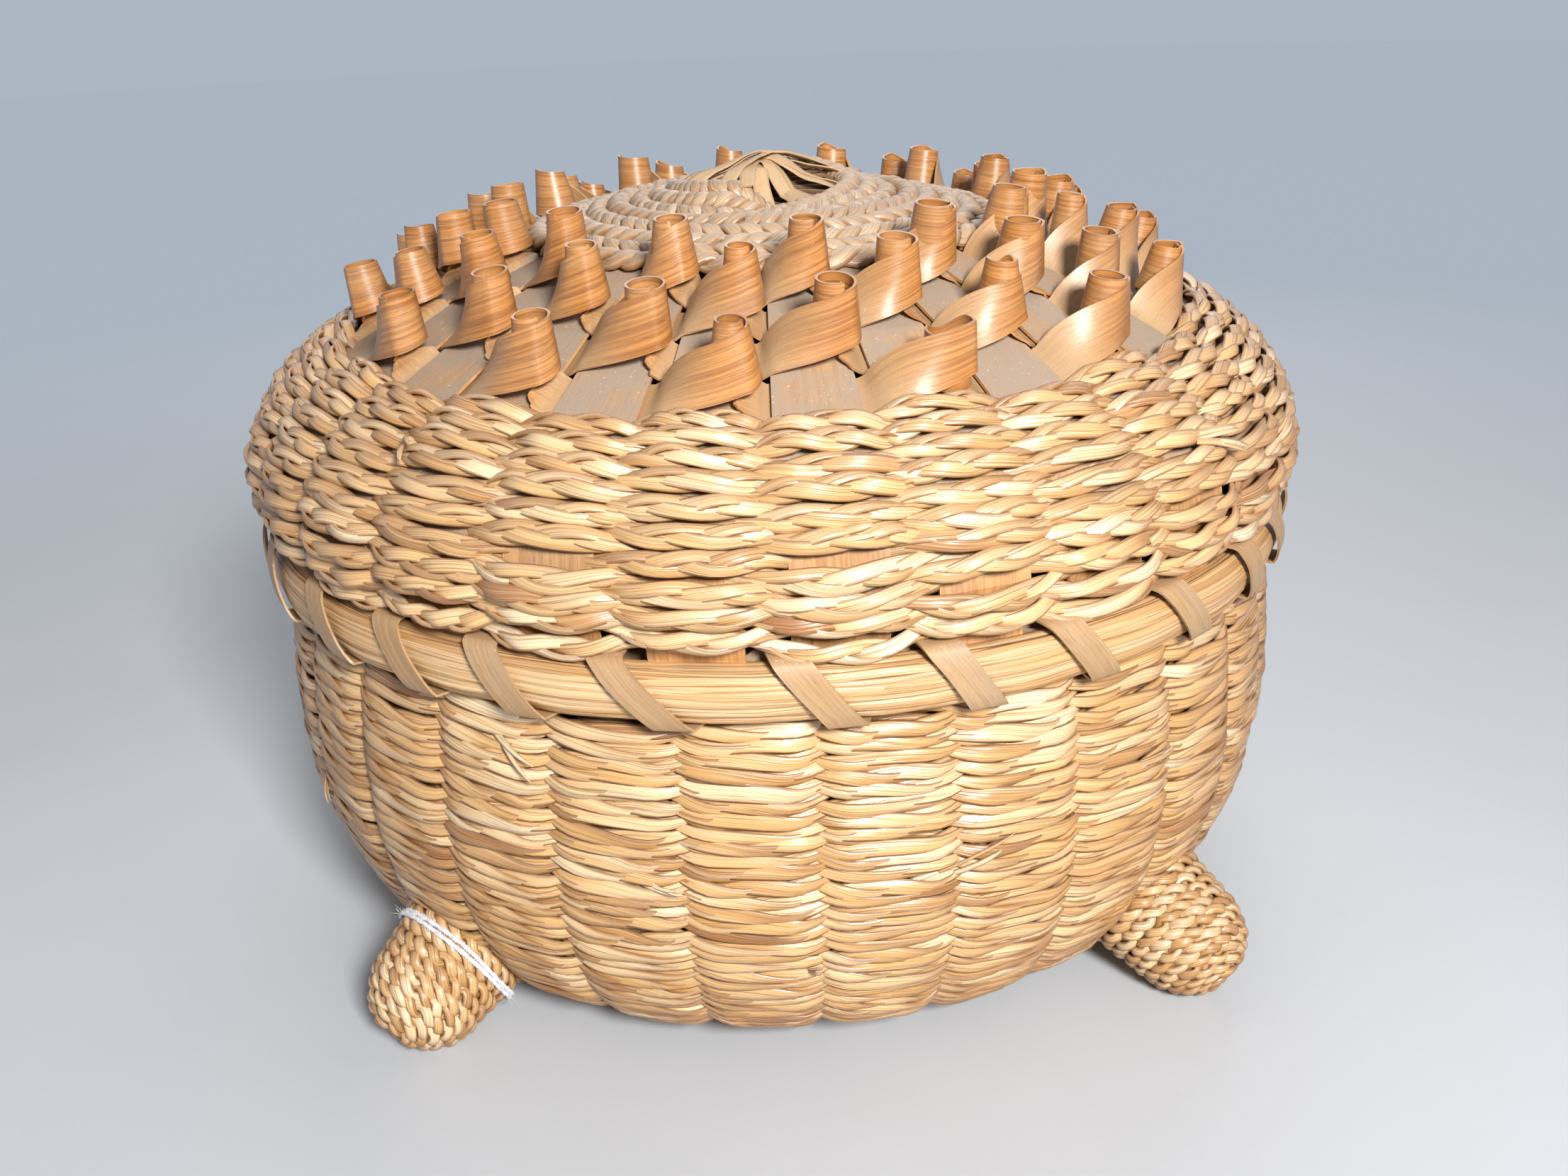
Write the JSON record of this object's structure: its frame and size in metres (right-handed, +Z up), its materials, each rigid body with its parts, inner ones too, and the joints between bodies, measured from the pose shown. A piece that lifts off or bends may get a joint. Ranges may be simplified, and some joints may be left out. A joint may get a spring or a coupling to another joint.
{
  "type": "lidded sewing basket",
  "caption": "Round sewing basket of sweetgrass woven over ash splints, with a domed lift-off lid that carries rows of rolled ash curls, on small woven cone feet.",
  "frame": {"origin": "on the table, at the middle of the basket", "axes": "+Z up; -Y to the front, where the picture looks from; +X to the right"},
  "size_m": [0.1984, 0.1984, 0.1392],
  "materials": {
    "sweetgrass": "dry woven grass",
    "splint": "split ash, dusty",
    "curl": "split ash with a satin growth-ring face",
    "bundle": "straight grass stems laid side by side",
    "lashing": "thin split ash, satin",
    "string": "soft white thread"
  },
  "bodies": {
    "basket": {"basket_woven_wall": "sweetgrass", "basket_splint_1": "splint", "basket_splint_2": "splint", "basket_splint_3": "splint", "basket_splint_4": "splint", "basket_splint_5": "splint", "basket_splint_6": "splint", "basket_splint_7": "splint", "basket_splint_8": "splint", "basket_splint_9": "splint", "basket_splint_10": "splint", "basket_splint_11": "splint", "basket_splint_12": "splint", "basket_splint_13": "splint", "basket_splint_14": "splint", "basket_rim_hoop_outer": "splint", "basket_rim_hoop_inner": "splint", "basket_rim_lashing": "lashing", "foot_front_left": "sweetgrass", "foot_front_right": "sweetgrass", "foot_back_right": "sweetgrass", "foot_back_left": "sweetgrass", "foot_tie_string": "string"},
    "lid": {"lid_braided_wall": "sweetgrass", "lid_splint_1": "splint", "lid_splint_2": "splint", "lid_splint_3": "splint", "lid_splint_4": "splint", "lid_splint_5": "splint", "lid_splint_6": "splint", "lid_splint_7": "splint", "lid_splint_8": "splint", "lid_splint_9": "splint", "lid_splint_10": "splint", "lid_splint_11": "splint", "lid_splint_12": "splint", "lid_splint_13": "splint", "lid_splint_14": "splint", "lid_twined_ring": "sweetgrass", "lid_curl_strip_1": "curl", "lid_curl_strip_2": "curl", "lid_curl_strip_3": "curl", "lid_curl_strip_4": "curl", "lid_rim_bundle": "bundle", "lid_rim_hoop_inner": "splint", "lid_rim_lashing": "lashing"}
  },
  "joints": [
    {"name": "lid_lift", "type": "slide", "parent": "basket", "child": "lid", "axis": [0, 0, 1], "range_m": [0, 0.12]}
  ]
}
